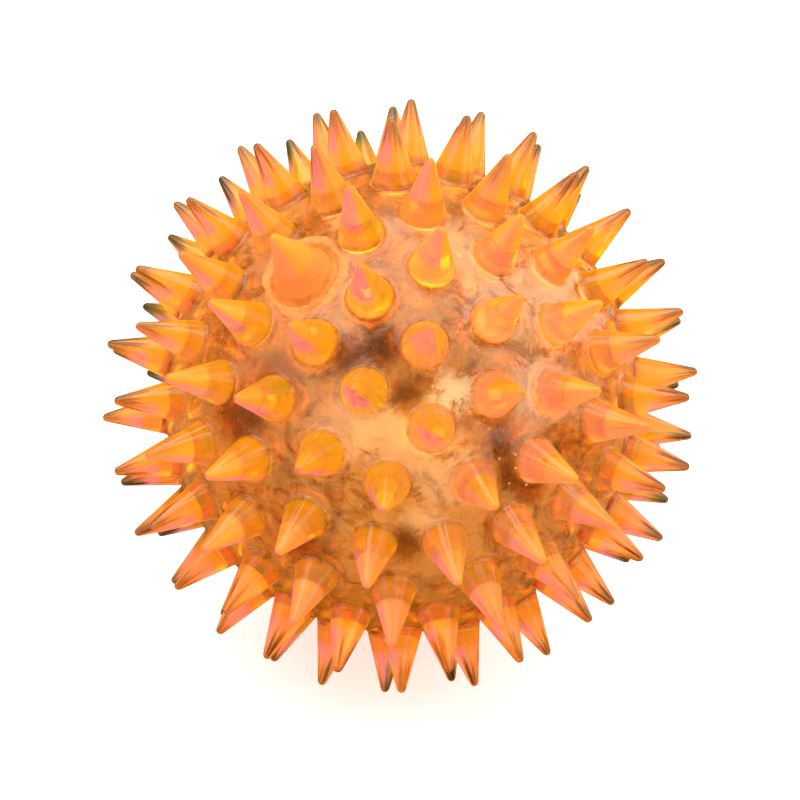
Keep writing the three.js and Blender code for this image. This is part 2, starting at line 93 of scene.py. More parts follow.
class NodeKit:
    def __init__(self, tree):
        self.tree = tree

    def node(self, kind, settings=None, sockets=None, result=0):
        made = self.tree.nodes.new(kind)
        for key, value in (settings or {}).items():
            setattr(made, key, value)
        for key, value in (sockets or {}).items():
            self.feed(made.inputs[key], value)
        return Signal(self, made.outputs[result])

    def feed(self, socket, value):
        if isinstance(value, Signal):
            self.tree.links.new(value.socket, socket)
        else:
            socket.default_value = value

    def place(self):
        return self.node("ShaderNodeTexCoord", result="Object")

    def grain(self, scale, detail=3.0, roughness=0.55, stretch=None, distortion=0.0):
        where = self.place()
        if stretch:
            where = self.node("ShaderNodeMapping", None, {"Vector": where, "Scale": stretch})
        return self.node("ShaderNodeTexNoise", None, {
            "Vector": where, "Scale": scale, "Detail": detail,
            "Roughness": roughness, "Distortion": distortion})

    def between(self, value, low, high, toLow=0.0, toHigh=1.0):
        return self.node("ShaderNodeMapRange", {"interpolation_type": "SMOOTHSTEP"}, {
            "Value": value, "From Min": low, "From Max": high, "To Min": toLow, "To Max": toHigh})

    def mix(self, factor, first, second):
        return self.node("ShaderNodeMix", {"data_type": "RGBA"}, {
            0: factor, 6: first, 7: second}, result=2)


class Finish(NodeKit):
    def __init__(self, name, **constants):
        self.material = bpy.data.materials.new(name)
        self.material.use_nodes = True
        super().__init__(self.material.node_tree)
        self.shader = self.tree.nodes["Principled BSDF"]
        self.output = self.tree.nodes["Material Output"]
        for key, value in constants.items():
            self.shader.inputs[key.replace("_", " ")].default_value = value

    def set(self, **sockets):
        for key, value in sockets.items():
            self.feed(self.shader.inputs[key.replace("_", " ")], value)
        return self

    def bump(self, height, distance, strength=1.0):
        return self.set(Normal=self.node("ShaderNodeBump", None, {
            "Height": height, "Distance": distance, "Strength": strength}))


def rgb(red, green, blue):
    return (red, green, blue, 1.0)


# see-through soft rubber: tones of the wall and the spikes, then how much of the painted glow each part
# shows
rubber = {
    # wall tones, in order: the clear wall, its clouds, painted shade towards the bottom, a dark tone for
    # dirt and for painted shade, a lighter painted shade, a painted pale glow, a painted reflection,
    # scuffs, a painted bright spot and glints, and the plug
    "wall": rgb(0.96, 0.61, 0.23), "wallCloud": rgb(0.86, 0.46, 0.1), "low": rgb(0.8, 0.42, 0.02),
    "shade": rgb(0.32, 0.13, 0.013), "halfShade": rgb(0.6, 0.3, 0.07), "pale": rgb(1.0, 0.72, 0.42),
    "glare": rgb(1.0, 0.71, 0.54), "scuff": rgb(1.0, 0.66, 0.36), "flash": rgb(1.0, 1.0, 0.66),
    "plug": rgb(0.95, 0.42, 0.08),
    # spike tones, in order: the spike and its clouds, painted light on the upper spikes, the foot, a
    # painted pink reflection on feet and on flanks, painted shade on the tips, and painted dark reflection
    # streaks
    "spike": rgb(1.0, 0.5, 0.045), "spikeCloud": rgb(1.0, 0.6, 0.03), "sunny": rgb(1.0, 0.6, 0.05),
    "foot": rgb(1.0, 0.55, 0.018), "pinkSheenFoot": rgb(1.0, 0.43, 0.2), "pinkLight": rgb(1.0, 0.35, 0.45),
    "tip": rgb(0.5, 0.5, 0.2), "reflectedStreak": rgb(0.12, 0.1, 0.03),
    # shares of the painted glow, the rubber's emission in its own colours: least at the tips, less on feet
    # low on the ball and where the wall is dirty
    "wallGlow": 0.36, "dirtGlowCut": 0.32, "lowFootGlow": 0.55, "footGlow": 0.9,
    "coneGlow": 0.85, "tipGlow": 0.02,
    "absorb": rgb(0.99, 0.84, 0.06), "density": 400.0, "ior": 1.45, "sheen": 0.12,
    "pinkLightSide": (-0.6, -0.4, -0.69), "front": (0.0, -0.915, 0.403),
}
# marks on the rubber, the painted glint dots and painted dark streaks among them: noise scale per metre,
# the levels between which each comes in, and its share
marks = {
    "swirl": 70, "wallCloudIn": (0.38, 0.68), "spikeCloudIn": (0.4, 0.62),
    "smear": 160, "smearIn": (0.48, 0.72), "smearShape": (1.0, 1.0, 0.35), "smearHaze": 0.16,
    "specks": 2600, "specksIn": (0.66, 0.74), "specksShare": 0.3, "specksHaze": 0.08,
    "dirt": 210, "dirtIn": (0.47, 0.66), "dirtShare": 0.6,
    "hairs": 240, "hairWidth": (0.004, 0.014), "hairsIn": (0.5, 0.6), "hairsShare": 0.6, "hairsHaze": 0.2,
    "glints": 800, "dotWidth": (0.1, 0.17), "glintsInDirt": 0.35,
    "grit": 900, "patchDirt": 0.3, "patchGrit": 0.6, "patchFray": 1.8, "patchFull": 0.4,
    "patchEnd": 1.15, "patchShare": 0.9,
    "reflectedStreaks": 2.4, "reflectedStreaksIn": (0.57, 0.64), "reflectedStreaksFray": 0.5, "tipWaves": 1.1, "tipFray": 0.3,
    "relief": 0.6 * mm, "reliefShare": 0.3,
}
# where tones change: shares of a spike's height, then heights and places on the ball, among them where the
# painted shade, painted light and painted pink reflection come in
zones = {
    "spike": (0.0, 0.08), "cone": (0.3, 0.44), "tip": (0.55, 0.85), "reflectedStreak": (0.4, 0.8),
    "footShadeIn": (0.003, 0.02), "footShadeOut": (0.05, 0.14, 1.0, 0.0),
    "offFront": (16 * mm, 27 * mm, 1.0, 0.0), "low": (-7 * mm, -22 * mm), "lowFray": 20 * mm,
    "sunny": (0.0, 22 * mm), "foot": (-10 * mm, 12 * mm),
    "right": (-4 * mm, 12 * mm), "rightHeight": (-8 * mm, 4 * mm),
    "pinkSheenFacing": (0.1, 0.52), "pinkSheenLow": (4 * mm, -14 * mm, 0.0, 0.28),
}
# patches of the wall that differ, as directions from the ball's centre: painted shade, painted shade with
# glint dots, a lighter painted shade, a painted pale glow, a painted bright spot of light, painted
# reflections of the lights, and real scuffs
paintedShade = {"tone": "shade", "glowShare": 0.04, "haze": 0.0, "specks": 0.0}
glintedShade = {**paintedShade, "specks": 1.0}
paintedGlow = {"tone": "pale", "glowShare": 0.6, "haze": 0.03, "specks": 0.0}
flash = {"tone": "flash", "glowShare": 1.0, "haze": 0.0, "specks": 0.0}
glare = {"tone": "glare", "glowShare": 0.6, "haze": 0.03, "specks": 0.0}
halfShade = {"tone": "halfShade", "glowShare": 0.2, "haze": 0.0, "specks": 0.0}
rub = {"tone": "scuff", "glowShare": 0.4, "haze": 0.3, "specks": 0.0}
wallPatches = [
    {"toward": (-0.09, -0.81, 0.57), "size": 3.6 * mm, **paintedShade},
    {"toward": (-0.2, -0.83, 0.52), "size": 2.6 * mm, **paintedShade},
    {"toward": (-0.62, -0.75, 0.22), "size": 4.6 * mm, **paintedShade},
    # pale patches: painted pale glow
    {"toward": (0.01, -0.97, 0.26), "size": 5.6 * mm, **paintedGlow},
    {"toward": (-0.19, -0.94, 0.27), "size": 3.8 * mm, **paintedGlow},
    {"toward": (0.16, -0.98, 0.13), "size": 6.0 * mm, **paintedGlow},
    {"toward": (0.12, -0.99, -0.06), "size": 3.4 * mm, **paintedGlow},
    {"toward": (0.03, -0.91, 0.41), "size": 2.4 * mm, **paintedShade},
    {"toward": (0.37, -0.9, 0.25), "size": 3.4 * mm, **glintedShade},
    {"toward": (0.43, -0.89, 0.12), "size": 2.4 * mm, **glintedShade},
    {"toward": (0.51, -0.86, 0.04), "size": 2.4 * mm, **glintedShade},
    # a painted bright spot of light
    {"toward": (0.19, -0.89, 0.42), "size": 3.6 * mm, **flash},
    # painted reflections of the lights on the upper right
    {"toward": (0.56, -0.52, 0.65), "size": 8.0 * mm, **glare},
    {"toward": (0.3, -0.67, 0.67), "size": 6.4 * mm, **glare},
    {"toward": (0.57, -0.72, 0.4), "size": 6.4 * mm, **glare},
    {"toward": (-0.47, -0.79, 0.41), "size": 3.6 * mm, **halfShade},
    {"toward": (0.2, -0.5, 0.84), "size": 6.0 * mm, **paintedGlow},
    {"toward": (0.04, -0.98, -0.16), "size": 2.8 * mm, **paintedShade},
    {"toward": (-0.34, -0.9, -0.26), "size": 4.0 * mm, **paintedShade},
    {"toward": (-0.4, -0.6, 0.7), "size": 5.6 * mm, **rub},
    {"toward": (-0.27, -0.39, 0.88), "size": 2.2 * mm, **rub},
    {"toward": (-0.2, -0.57, 0.8), "size": 1.8 * mm, **rub},
    {"toward": (-0.56, -0.42, 0.72), "size": 2.2 * mm, **rub},
]


def along(finish, place, way):
    return finish.node("ShaderNodeVectorMath", {"operation": "DOT_PRODUCT"}, {
        0: place, 1: way}, result="Value")


def rubberMarks(finish):
    swirl = finish.grain(marks["swirl"], detail=4, distortion=0.6)
    smear = finish.grain(marks["smear"], detail=3, stretch=marks["smearShape"])
    specks = finish.grain(marks["specks"], detail=1)
    dirt = finish.grain(marks["dirt"], detail=7, roughness=0.7, distortion=1.6)
    crease = finish.grain(marks["hairs"], detail=2, distortion=2.2) - 0.5
    crease = finish.node("ShaderNodeMath", {"operation": "ABSOLUTE"}, {0: crease})
    hairs = finish.between(crease, *marks["hairWidth"], 1.0, 0.0)
    cells = finish.node("ShaderNodeTexVoronoi", None, {"Vector": finish.place(), "Scale": marks["glints"]})
    return {
        "swirl": swirl,
        "ragged": swirl - 0.5,
        "smear": finish.between(smear, *marks["smearIn"]),
        "specks": finish.between(specks, *marks["specksIn"]),
        "dirt": finish.between(dirt, *marks["dirtIn"]),
        "hairs": hairs * finish.between(swirl, *marks["hairsIn"]),
        "glints": finish.between(cells, *marks["dotWidth"], 1.0, 0.0),
        "grit": finish.grain(marks["grit"], detail=5, roughness=0.75) - 0.5,
    }


# tone of the wall with its patches, with painted shade towards the bottom and painted glint dots, how much
# it glows, which is a painted glow, and how hazy it is
def wallTones(finish, look, mark, where, height):
    dirt, ragged = mark["dirt"], mark["ragged"]
    glowShare = rubber["wallGlow"] - dirt * rubber["dirtGlowCut"]
    haze = look["gloss"]
    glintMask = dirt * marks["glintsInDirt"]
    clouds = finish.between(mark["swirl"], *marks["wallCloudIn"])
    wall = finish.mix(clouds, rubber[look["wall"]], rubber[look["cloud"]])
    wall = finish.mix(dirt * marks["dirtShare"], wall, rubber["shade"])
    # painted shade: the wall turns a darker, deeper gold towards the bottom
    shadedBelow = finish.between(height + ragged * zones["lowFray"], *zones["low"])
    wall = finish.mix(shadedBelow, wall, rubber["low"])
    fray = ragged + dirt * marks["patchDirt"] + mark["grit"] * marks["patchGrit"]
    # the patches paint shade, pale glow, a bright spot of light and reflections over the wall; only the
    # scuffs are wear
    for patch in look["patches"]:
        size = patch["size"]
        centre = Vector(patch["toward"]).normalized() * spike["core"]
        away = finish.node("ShaderNodeVectorMath", {"operation": "DISTANCE"}, {
            0: where, 1: centre}, result="Value") + fray * (marks["patchFray"] * size)
        full, end = marks["patchFull"] * size, marks["patchEnd"] * size
        cover = finish.between(away, full, end, marks["patchShare"], 0.0)
        wall = finish.mix(cover, wall, rubber[patch["tone"]])
        glowShare = glowShare + cover * (patch["glowShare"] - glowShare)
        if patch["haze"]:
            haze = haze + cover * patch["haze"]
        if patch["specks"]:
            glintMask = glintMask + cover * patch["specks"]
    scuffs = mark["hairs"] * marks["hairsShare"] + mark["specks"] * marks["specksShare"]
    wall = finish.mix(scuffs, wall, rubber["scuff"])
    # pale glowing dots in the dirt and in some shade patches: painted glints
    glints = mark["glints"] * glintMask
    return finish.mix(glints, wall, rubber["flash"]), glowShare + glints * (1 - glowShare), haze


# tone of the spikes, from foot to tip, with painted light, painted pink reflection and painted shade on
# them, and how much they glow, which is a painted glow
def spikeTones(finish, look, mark, where, across, height, rise):
    onCone = finish.between(rise, *zones["cone"])
    offFront = finish.between(along(finish, where, rubber["front"]), *zones["offFront"])
    normal = finish.node("ShaderNodeNewGeometry", result="Normal")
    facing = along(finish, normal, rubber["pinkLightSide"])
    around = finish.node("ShaderNodeAttribute", {"attribute_name": "around"}, result="Vector")
    lines = finish.node("ShaderNodeTexNoise", None, {
        "Vector": around, "Scale": marks["reflectedStreaks"], "Detail": 2.0})
    climb = rise + (lines - 0.5) * marks["tipWaves"] + mark["ragged"] * marks["tipFray"]
    # painted shade: olive tips on spikes turned away from the front, crossed by painted dark reflections in
    # streaks along them
    shadedTip = finish.between(climb, *zones["tip"]) * offFront * look["tips"]
    reflectedStreaks = finish.between(lines, *marks["reflectedStreaksIn"])
    reflectedStreaks = reflectedStreaks * finish.between(rise + mark["ragged"] * marks["reflectedStreaksFray"], *zones["reflectedStreak"])
    reflectedStreaks = reflectedStreaks * offFront * look["tips"]

    clouds = finish.between(mark["swirl"], *marks["spikeCloudIn"])
    cone = finish.mix(clouds, rubber["spike"], rubber["spikeCloud"])
    # painted light: spikes higher on the ball turn yellower
    cone = finish.mix(finish.between(height, *zones["sunny"], 0.0, look["sunny"]), cone, rubber["sunny"])
    toRight = finish.between(across, *zones["right"]) * finish.between(height, *zones["rightHeight"])
    toRight = toRight * (1 - offFront)
    foot = finish.mix(toRight * look["pinkSheen"], rubber[look["foot"]], rubber["pinkSheenFoot"])
    cone = finish.mix(onCone, foot, cone)
    # painted pink reflection on flanks that face the lower left and on spikes low on the ball, and on the
    # feet of spikes to the right
    pinkSheen = finish.between(facing, *zones["pinkSheenFacing"]) + finish.between(height, *zones["pinkSheenLow"])
    pinkSheen = pinkSheen * (0.2 + onCone * (0.8 - toRight * 0.6))  # less on the foot, and on the points of spikes to the right
    cone = finish.mix(pinkSheen * look["pinkSheen"], cone, rubber["pinkLight"])
    cone = finish.mix(shadedTip, cone, rubber["tip"])
    cone = finish.mix(reflectedStreaks, cone, rubber["reflectedStreak"])

    footGlow = finish.between(height, *zones["foot"], rubber["lowFootGlow"], rubber["footGlow"])
    glowShare = footGlow + onCone * (rubber["coneGlow"] - footGlow)
    return cone, glowShare + (shadedTip + reflectedStreaks) * (rubber["tipGlow"] - glowShare)


def rubberFinish(name, look):
    finish = Finish(name, IOR=rubber["ior"], Specular_IOR_Level=rubber["sheen"],
                    Transmission_Weight=look["through"], Emission_Strength=look["glow"])
    where = finish.place()
    reach = finish.node("ShaderNodeVectorMath", {"operation": "LENGTH"}, {0: where}, result="Value")
    across = finish.node("ShaderNodeSeparateXYZ", None, {0: where}, result="X")
    height = finish.node("ShaderNodeSeparateXYZ", None, {0: where}, result="Z")
    rise = (reach - spike["core"]) * (1 / spike["height"])
    onSpike = finish.between(rise, *zones["spike"])
    mark = rubberMarks(finish)
    wall, wallGlow, haze = wallTones(finish, look, mark, where, height)
    cone, coneGlow = spikeTones(finish, look, mark, where, across, height, rise)

    paint = finish.mix(onSpike, wall, cone)
    footShade = finish.between(rise, *zones["footShadeIn"]) * finish.between(rise, *zones["footShadeOut"])
    footShade = footShade * (0.15 + mark["dirt"] * marks["dirtShare"])  # painted shade in the crease round each foot, patchy with the dirt noise
    paint = finish.mix(footShade * look["footShade"], paint, rubber["shade"])
    glowShare = wallGlow + onSpike * (coneGlow - wallGlow)
    haze = haze + mark["smear"] * marks["smearHaze"] + mark["specks"] * marks["specksHaze"]
    # the rubber glows in its own colours though it is no lamp: a painted glow
    finish.set(
        Base_Color=paint,
        Emission_Color=finish.mix(glowShare, rgb(0, 0, 0), paint),
        Roughness=haze + mark["hairs"] * marks["hairsHaze"])
    relief = mark["swirl"] * 0.9 + mark["smear"] * 0.05 + mark["specks"] * 0.02 + mark["hairs"] * 0.05
    finish.bump(relief + mark["dirt"] * look["worn"], marks["relief"], marks["reliefShare"])
    absorption = finish.node("ShaderNodeVolumeAbsorption", None, {
        "Color": rubber["absorb"], "Density": rubber["density"]})
    finish.feed(finish.output.inputs["Volume"], absorption)
    return finish.material


def buildPiece(bm, name, material, node, body="ball"):
    mesh = bpy.data.meshes.new(name)
    bm.to_mesh(mesh)
    bm.free()
    mesh.materials.append(material)
    piece = bpy.data.objects.new(name, mesh)
    bpy.context.scene.collection.objects.link(piece)
    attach(piece, body)
    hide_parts(node)
    print(name, "made:", len(mesh.polygons), "faces")
    return piece


def turnProfile(bm, profile, sides):
    verts = [bm.verts.new((radius, 0, height)) for radius, height in profile]
    edges = [bm.edges.new(pair) for pair in zip(verts, verts[1:])]
    bmesh.ops.spin(bm, geom=verts + edges, cent=(0, 0, 0), axis=up, dvec=(0, 0, 0),
                   angle=2 * math.pi, steps=sides, use_merge=True)
    bmesh.ops.remove_doubles(bm, verts=bm.verts, dist=weldGap)
    return list(bm.verts)


def smoothShade(bm, sharpAngle):
    for face in bm.faces:
        face.smooth = True
    for edge in bm.edges:
        if len(edge.link_faces) == 2 and edge.calc_face_angle(0) > sharpAngle:
            edge.smooth = False


def turnTo(axis):
    return up.rotation_difference(axis).to_matrix()


def turnedMesh(profile, sides, axis):
    bm = bmesh.new()
    verts = turnProfile(bm, profile, sides)
    bmesh.ops.rotate(bm, verts=verts, cent=(0, 0, 0), matrix=turnTo(axis))
    mesh = bpy.data.meshes.new("turned")
    bm.to_mesh(mesh)
    bm.free()
    return mesh


# spike shape, as on the solids, with a small fillet round the foot
spike = {
    "core": 29.8 * mm, "height": 7.7 * mm, "foot": 2.7 * mm, "tip": 0.55 * mm,
    "fillet": 0.26 * mm, "filletRise": 1.6, "filletBelly": 0.15, "bellyRise": 0.35, "sides": 16,
    "tipBand": 0.05 * mm, "streakStep": 3,
}
tipReach = spike["core"] + spike["height"]


def spikeAxes(node):
    reach = tipReach - spike["tipBand"]
    found = {tuple(round(c, 6) for c in v.co) for v in cad[node].data.vertices if v.co.length > reach}
    return [Vector(tip).normalized() for tip in sorted(found)]


def onCore(radius):
    return math.sqrt(spike["core"] ** 2 - radius ** 2)


def spikeProfile(foot, fillet):
    lean = math.atan2(foot - spike["tip"], spike["height"] - spike["tip"])
    centre = tipReach - spike["tip"]
    profile = [(0, tipReach)]
    for share in (0.5, 1.0):  # rounded tip, down to where the flank leaves it
        angle = math.pi / 2 - share * (math.pi / 2 - lean)
        profile.append((spike["tip"] * math.cos(angle), centre + spike["tip"] * math.sin(angle)))
    tipRadius, tipHeight = profile[-1]
    footHeight = onCore(foot)
    rise = spike["filletRise"] * fillet
    share = rise / (tipHeight - footHeight)
    profile.append((foot + share * (tipRadius - foot), footHeight + rise))
    middle = foot + spike["filletBelly"] * fillet
    profile.append((middle, onCore(middle) + spike["bellyRise"] * fillet))
    outer = foot + fillet
    profile.append((outer, onCore(outer)))
    return profile


# filling port and the inside of the ball, turned about the plug's axis
port = {
    "rim": 4.75 * mm, "rebate": 28.75 * mm, "head": 4.25 * mm, "seat": 28.4 * mm, "bore": 3.25 * mm,
    "cavity": 27.6 * mm, "sides": 40, "arcSteps": 26,
}


def portProfile():
    mouth = math.asin(port["bore"] / port["cavity"])
    profile = [
        (port["rim"], onCore(port["rim"])),
        (port["rim"], port["rebate"]),
        (port["head"], port["rebate"]),
        (port["head"], port["seat"]),
        (port["bore"], port["seat"]),
    ]
    for i in range(port["arcSteps"]):
        angle = mouth + (math.pi - mouth) * i / port["arcSteps"]
        profile.append((port["cavity"] * math.sin(angle), port["cavity"] * math.cos(angle)))
    profile.append((0, -port["cavity"]))
    return profile


# air bubbles caught in the wall, more of them low on the right of the front
bubble = {"seed": 7, "all": 46, "cluster": 26, "toward": (0.42, -0.86, -0.12), "spread": 0.2,
          "small": 0.1 * mm, "large": 0.3 * mm, "fewLarge": 3, "depth": (0.25, 0.75), "offSpikes": 0.11}


def addBubbles(bm, axes):
    dice = random.Random(bubble["seed"])
    clusterAxis = Vector(bubble["toward"]).normalized()
    made = 0
    while made < bubble["all"] + bubble["cluster"]:
        way = Vector([dice.gauss(0, 1) for _ in range(3)]).normalized()
        if made < bubble["cluster"]:
            way = (clusterAxis + way * bubble["spread"]).normalized()
        if max(way.dot(axis) for axis in axes) > math.cos(bubble["offSpikes"]):
            continue
        radius = bubble["small"] + (bubble["large"] - bubble["small"]) * dice.random() ** bubble["fewLarge"]
        depth = port["cavity"] + (spike["core"] - port["cavity"]) * dice.uniform(*bubble["depth"])
        shape = bmesh.ops.create_icosphere(bm, subdivisions=2, radius=radius,
                                           matrix=Matrix.Translation(way * depth))
        faces = {face for vert in shape["verts"] for face in vert.link_faces}
        bmesh.ops.reverse_faces(bm, faces=list(faces))
        made += 1


# hollow ball with its spikes: how clear, glossy and worn the rubber is, how strong its painted glow,
# painted pink reflection, painted light on the upper spikes and painted shade round the feet and on the
# tips are, and its tones
ball = {
    "through": 0.94, "gloss": 0.06, "worn": 0.03, "glow": 0.35,
    "pinkSheen": 1.0, "sunny": 0.7, "footShade": 1.0, "tips": 0.9,
    "foot": "foot", "wall": "wall", "cloud": "wallCloud", "patches": wallPatches, "cuts": 2,
}


def makeBall():
    axes = spikeAxes("ball_shell")
    plugAxis = spikeAxes("port_plug")[0]
    bm = bmesh.new()
    owner = bm.verts.layers.int.new("owner")  # which foot circle a point of the core belongs to
    around = bm.verts.layers.float_vector.new("around")  # place round the spike, for the painted dark streaks along it

    lining = turnedMesh(portProfile(), port["sides"], plugAxis)
    bm.from_mesh(lining)
    for vert in bm.verts:
        if vert.co.dot(plugAxis) > onCore(port["rim"]) - nearly:
            vert[owner] = len(axes) + 1

    cone = turnedMesh(spikeProfile(spike["foot"], spike["fillet"]), spike["sides"], up)
    footReach = onCore(spike["foot"] + spike["fillet"]) + nearly
    for i, axis in enumerate(axes):
        before = len(bm.verts)
        bm.from_mesh(cone)
        bm.verts.ensure_lookup_table()
        fresh = bm.verts[before:]
        for vert in fresh:
            vert[around] = Vector((vert.co.x, vert.co.y, 0)).normalized() + up * (spike["streakStep"] * i)
            if vert.co.z < footReach:
                vert[owner] = i + 1
        bmesh.ops.rotate(bm, verts=fresh, cent=(0, 0, 0), matrix=turnTo(axis))
    for mesh in (lining, cone):
        bpy.data.meshes.remove(mesh)

    # a hull joins all foot circles; what it puts across each foot goes again
    rim = [vert for vert in bm.verts if vert[owner]]
    hull = bmesh.ops.convex_hull(bm, input=rim)
    skin = [item for item in hull["geom"] if isinstance(item, bmesh.types.BMFace)]
    caps = [face for face in skin if len({vert[owner] for vert in face.verts}) == 1]
    capSet = set(caps)
    web = [face for face in skin if face not in capSet]
    ties = list({edge for face in web for edge in face.edges
                 if edge.verts[0][owner] != edge.verts[1][owner]})
    bmesh.ops.delete(bm, geom=caps, context="FACES")
    cut = bmesh.ops.subdivide_edges(bm, edges=ties, cuts=ball["cuts"], use_grid_fill=True)
    for item in cut["geom_inner"]:
        if isinstance(item, bmesh.types.BMVert):
            item.co = item.co.normalized() * spike["core"]
    bmesh.ops.recalc_face_normals(bm, faces=bm.faces)
    smoothShade(bm, sharpEdge)
    loose = [edge for edge in bm.edges if len(edge.link_faces) != 2]
    print("ball skin: open edges", len(loose))
    addBubbles(bm, axes)
    for face in bm.faces:
        face.smooth = True
    return buildPiece(bm, "rubberBall", rubberFinish("orangeRubber", ball), "ball_shell")


# plug that closes the port, moulded with its own spike
plug = {
    "end": 26.9 * mm, "taper": 0.6 * mm, "stem": 3.0 * mm, "head": 4.1 * mm, "lift": 0.25 * mm,
    "cone": 3.45 * mm, "blend": 0.55 * mm, "sides": 40,
    # how clear, glossy and worn the plug is, how strong its painted glow, painted pink reflection, painted
    # light higher up and painted shade round its foot are, and its tones
    "through": 0.6, "gloss": 0.42, "worn": 0.5, "glow": 0.3,
    "pinkSheen": 0.35, "sunny": 0.15, "footShade": 0.2, "tips": 0.0,
    "foot": "plug", "wall": "plug", "cloud": "low", "patches": [],
}


def makePlug():
    axis = spikeAxes("port_plug")[0]
    bm = bmesh.new()
    seat = port["seat"] + plug["lift"]
    profile = [
        (0, plug["end"]),
        (plug["stem"] - plug["taper"], plug["end"]),
        (plug["stem"], plug["end"] + plug["taper"]),
        (plug["stem"], seat),
        (plug["head"], seat),
        (plug["head"], onCore(plug["head"])),
    ]
    profile += reversed(spikeProfile(plug["cone"], plug["blend"]))
    verts = turnProfile(bm, profile, plug["sides"])
    bmesh.ops.rotate(bm, verts=verts, cent=(0, 0, 0), matrix=turnTo(axis))
    bmesh.ops.recalc_face_normals(bm, faces=bm.faces)
    smoothShade(bm, sharpEdge)
    return buildPiece(bm, "portPlug", rubberFinish("plugRubber", plug), "port_plug")


# ring of solvent cement round the plug: a lumpy crest, and a thin lip smeared over the wall
cement = {
    "inner": 4.16 * mm, "outer": 4.7 * mm, "floor": 28.82 * mm, "crown": 0.16 * mm, "sides": 96,
    "lumps": 0.45 * mm, "lumpScale": 1900, "grainScale": 4700, "sink": -0.3, "root": 0.1 * mm,
    "smear": 1.1 * mm, "least": 0.1, "film": 0.04 * mm, "lobes": 2.3, "nicks": 7.1,
    "sharp": math.radians(60), "through": 0.6, "glow": 0.2, "ior": 1.35, "sheen": 0.25,
    "dark": rgb(0.85, 0.38, 0.09), "light": rgb(1.0, 0.5, 0.16),
}


def makeCement():
    axis = spikeAxes("port_plug")[0]
    feet = spikeAxes("ball_shell")
    clear = math.cos((spike["foot"] + spike["fillet"]) / spike["core"])
    bm = bmesh.new()
    outer, film = cement["outer"], cement["film"]
    width = outer - cement["inner"]
    lip = outer + 0.5 * cement["smear"]
    profile = [
        (cement["inner"], cement["floor"]),
        (outer, cement["floor"]),
        (outer, onCore(outer) - film),
        (lip, onCore(lip) - film),
        (lip, onCore(lip) + film),
    ]
    for share in (0.75, 0.45, 0.15, 0.0):
        radius = cement["inner"] + share * width
        lift = cement["crown"] * math.sin(math.pi * share)
        profile.append((radius, onCore(radius) + lift))
    profile.append(profile[0])
    verts = turnProfile(bm, profile, cement["sides"])
    for vert in verts:
        flat = Vector((vert.co.x, vert.co.y, 0))
        if flat.length > outer + film:  # the lip runs out over the wall as far as the spikes let it
            way = flat.normalized()
            spread = 0.5 + noise.noise(way * cement["lobes"]) + 0.25 * noise.noise(way * cement["nicks"])
            reach = outer + cement["smear"] * min(max(spread, cement["least"]), 1)
            ahead = (turnTo(axis) @ (way * reach + up * onCore(reach))).normalized()
            if max(ahead.dot(foot) for foot in feet) > clear:
                reach = outer + cement["least"] * cement["smear"]
            vert.co = way * reach + up * (onCore(reach) + vert.co.z - onCore(lip))
        elif flat.length < outer - film and vert.co.z > cement["floor"] + cement["root"]:
            lump = noise.noise(vert.co * cement["lumpScale"])
            lump += 0.6 * noise.noise(vert.co * cement["grainScale"])
            vert.co *= 1 + cement["lumps"] * max(lump, cement["sink"]) / spike["core"]
    bmesh.ops.rotate(bm, verts=verts, cent=(0, 0, 0), matrix=turnTo(axis))
    bmesh.ops.recalc_face_normals(bm, faces=bm.faces)
    smoothShade(bm, cement["sharp"])
    # the cement glows faintly in its own tones though it is no lamp: a painted glow
    finish = Finish("cement", IOR=cement["ior"], Specular_IOR_Level=cement["sheen"],
                    Transmission_Weight=cement["through"], Emission_Strength=cement["glow"])
    lumps = finish.grain(900, detail=4)
    smeared = finish.mix(finish.between(lumps, 0.35, 0.6), cement["dark"], cement["light"])
    finish.set(Base_Color=smeared, Emission_Color=smeared, Roughness=0.5 + lumps * 0.3)
    finish.bump(lumps, 0.25 * mm, 0.6)
    return buildPiece(bm, "cementRing", finish.material, "plug_cement")


# soft pad between the module and the wall
pad = {"edge": 0.45 * mm, "fill": 0.85, "weld": 0.01 * mm, "corner": math.radians(40), "cells": 1500}


def makePad():
    bm = bmesh.new()
    bm.from_mesh(cad["module_pad"].data)
    bmesh.ops.remove_doubles(bm, verts=bm.verts, dist=pad["weld"])
    corners = [edge for edge in bm.edges if edge.calc_face_angle(0) > pad["corner"]]
    bmesh.ops.bevel(bm, geom=corners, offset=pad["edge"], offset_type="OFFSET", affect="EDGES",
                    segments=3, profile=0.5, material=-1, clamp_overlap=True)
    smoothShade(bm, sharpEdge)
    finish = Finish("bondingPad")
    cells = finish.node("ShaderNodeTexVoronoi", None, {"Vector": finish.place(), "Scale": pad["cells"]})
    finish.set(
        Base_Color=finish.mix(cells, rgb(0.62, 0.5, 0.36), rgb(0.42, 0.32, 0.22)),
        Roughness=0.8 + cells * 0.15)
    finish.bump(cells, 0.2 * mm, 0.7)
    piece = buildPiece(bm, "bondingPad", finish.material, "module_pad")
    return piece


# finishes for the solids of the flasher module, which stay as they are
def caseFinish():
    # the clear case glows faintly in its own tones though it is no lamp: a painted glow
    finish = Finish("clearCase", IOR=1.5, Transmission_Weight=0.2, Emission_Strength=0.1)
    cloud = finish.grain(120, detail=4, distortion=1.2)
    scuffs = finish.between(finish.grain(420, detail=2, stretch=(0.25, 1.0, 1.0)), 0.5, 0.7)
    finish.set(
        Base_Color=finish.mix(cloud, rgb(0.97, 0.93, 0.84), rgb(0.88, 0.82, 0.7)),
        Emission_Color=finish.mix(cloud, rgb(1.0, 0.85, 0.75), rgb(0.6, 0.45, 0.35)),
        Roughness=0.22 + cloud * 0.14 + scuffs * 0.15)
    return finish.bump(scuffs, 0.1 * mm, 0.4).material


